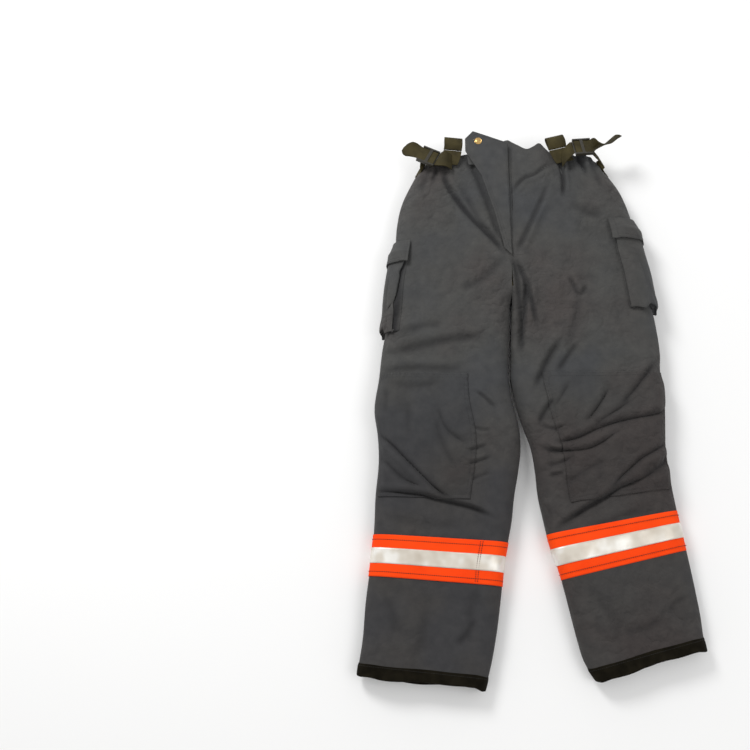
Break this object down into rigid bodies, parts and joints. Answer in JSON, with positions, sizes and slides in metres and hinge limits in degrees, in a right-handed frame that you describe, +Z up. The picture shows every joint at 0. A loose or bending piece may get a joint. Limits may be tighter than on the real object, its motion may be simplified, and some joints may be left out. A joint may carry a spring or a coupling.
{
  "type": "firefighter bunker pants",
  "caption": "Firefighter's bunker pants lying on their back: zip and snap fly, side pockets with flaps, knee patches, reflective calf bands, side take-up buckles.",
  "frame": {"origin": "middle of the outer box in plan, on the surface the pants lie on", "axes": "+X towards the wearer's left, +Y towards the waist, +Z up, out of the pants' front"},
  "size_m": [0.6252, 1.0708, 0.0842],
  "materials": {
    "shell_cloth": "plain-weave aramid outer shell, dark grey-navy, matt",
    "lining_cloth": "quilted thermal lining, matt",
    "knee_foam": "closed-cell foam padding",
    "orange_tape": "fluorescent orange trim tape, fine weave",
    "silver_tape": "silver retroreflective film, satin",
    "cuff_cloth": "black hard-wearing hem binding",
    "webbing": "black webbing with an olive cast, ribbed weave",
    "buckle_plastic": "moulded black acetal",
    "brass": "worn brass",
    "hook_loop": "black hook-and-loop and zip tape"
  },
  "bodies": {
    "trousers": {"shell_front_right": "shell_cloth", "shell_back_right": "shell_cloth", "shell_front_left": "shell_cloth", "shell_back_left": "shell_cloth", "lining_front_right": "lining_cloth", "lining_front_left": "lining_cloth", "lining_back_right": "lining_cloth", "lining_back_left": "lining_cloth", "waist_facing_right": "shell_cloth", "waist_facing_left": "shell_cloth", "waist_elastic_right": "hook_loop", "waist_elastic_left": "hook_loop", "orange_tape_right": "orange_tape", "orange_tape_left": "orange_tape", "silver_stripe_right": "silver_tape", "silver_stripe_left": "silver_tape", "hem_cuff_right": "cuff_cloth", "hem_cuff_left": "cuff_cloth", "knee_patch_right": "shell_cloth", "knee_patch_left": "shell_cloth", "knee_pad_right": "knee_foam", "knee_pad_left": "knee_foam", "pocket_bag_right": "shell_cloth", "pocket_bag_left": "shell_cloth", "pocket_loop_strip_right": "hook_loop", "pocket_loop_strip_left": "hook_loop", "suspender_anchor_right": "webbing", "suspender_anchor_left": "webbing", "take_up_strap_right": "webbing", "take_up_strap_left": "webbing", "side_strap_right": "webbing", "side_strap_left": "webbing", "fly_welt": "shell_cloth", "underlap_tab": "shell_cloth", "snap_stud": "brass", "zip_teeth_right": "brass", "zip_teeth_left": "brass", "zip_tape_right": "hook_loop", "zip_tape_left": "hook_loop", "zip_bottom_stop": "brass"},
    "fly_flap": {"fly_flap": "shell_cloth", "snap_cap": "brass", "snap_socket": "brass"},
    "zip_slider": {"zip_slider": "brass", "zip_pull": "brass"},
    "pocket_flap_right": {"pocket_flap_right": "shell_cloth", "pocket_hook_strip_right": "hook_loop"},
    "suspender_loop_right": {"suspender_loop_right": "webbing"},
    "buckle_right": {"buckle_right": "buckle_plastic"},
    "strap_tail_right": {"strap_tail_right": "webbing"},
    "pocket_flap_left": {"pocket_flap_left": "shell_cloth", "pocket_hook_strip_left": "hook_loop"},
    "suspender_loop_left": {"suspender_loop_left": "webbing"},
    "buckle_left": {"buckle_left": "buckle_plastic"},
    "strap_tail_left": {"strap_tail_left": "webbing"}
  },
  "joints": [
    {"name": "fly_flap_hinge", "type": "hinge", "parent": "trousers", "child": "fly_flap", "pos_m": [-0.01383, 0.48639, 0.0656], "axis": [0, 1, 0], "range_deg": [0, 150]},
    {"name": "zip_slide", "type": "slide", "parent": "trousers", "child": "zip_slider", "axis": [0, -1, 0], "range_m": [0, 0.14]},
    {"name": "pocket_flap_right_hinge", "type": "hinge", "parent": "trousers", "child": "pocket_flap_right", "pos_m": [-0.23688, 0.30159, 0.0453], "axis": [-0.7071, 0, -0.7071], "range_deg": [0, 110]},
    {"name": "suspender_loop_right_swing", "type": "hinge", "parent": "trousers", "child": "suspender_loop_right", "pos_m": [-0.12386, 0.49549, 0.0591], "axis": [0.9945, -0.1045, 0], "range_deg": [-30, 60]},
    {"name": "buckle_right_tilt", "type": "hinge", "parent": "trousers", "child": "buckle_right", "pos_m": [-0.15653, 0.47807, 0.064], "axis": [0.2614, 0.5872, -0.766], "range_deg": [0, 25]},
    {"name": "strap_tail_right_slide", "type": "slide", "parent": "buckle_right", "child": "strap_tail_right", "axis": [-0.9135, 0.4067, 0], "range_m": [0, 0.012]},
    {"name": "pocket_flap_left_hinge", "type": "hinge", "parent": "trousers", "child": "pocket_flap_left", "pos_m": [0.21632, 0.34649, 0.0453], "axis": [-0.7071, 0, 0.7071], "range_deg": [0, 110]},
    {"name": "suspender_loop_left_swing", "type": "hinge", "parent": "trousers", "child": "suspender_loop_left", "pos_m": [0.08576, 0.49946, 0.0591], "axis": [0.9703, 0.2419, 0], "range_deg": [-30, 60]},
    {"name": "buckle_left_tilt", "type": "hinge", "parent": "trousers", "child": "buckle_left", "pos_m": [0.11807, 0.50514, 0.064], "axis": [0.0448, -0.6412, 0.766], "range_deg": [0, 25]},
    {"name": "strap_tail_left_slide", "type": "slide", "parent": "buckle_left", "child": "strap_tail_left", "axis": [0.9976, 0.0698, 0], "range_m": [0, 0.012]}
  ]
}
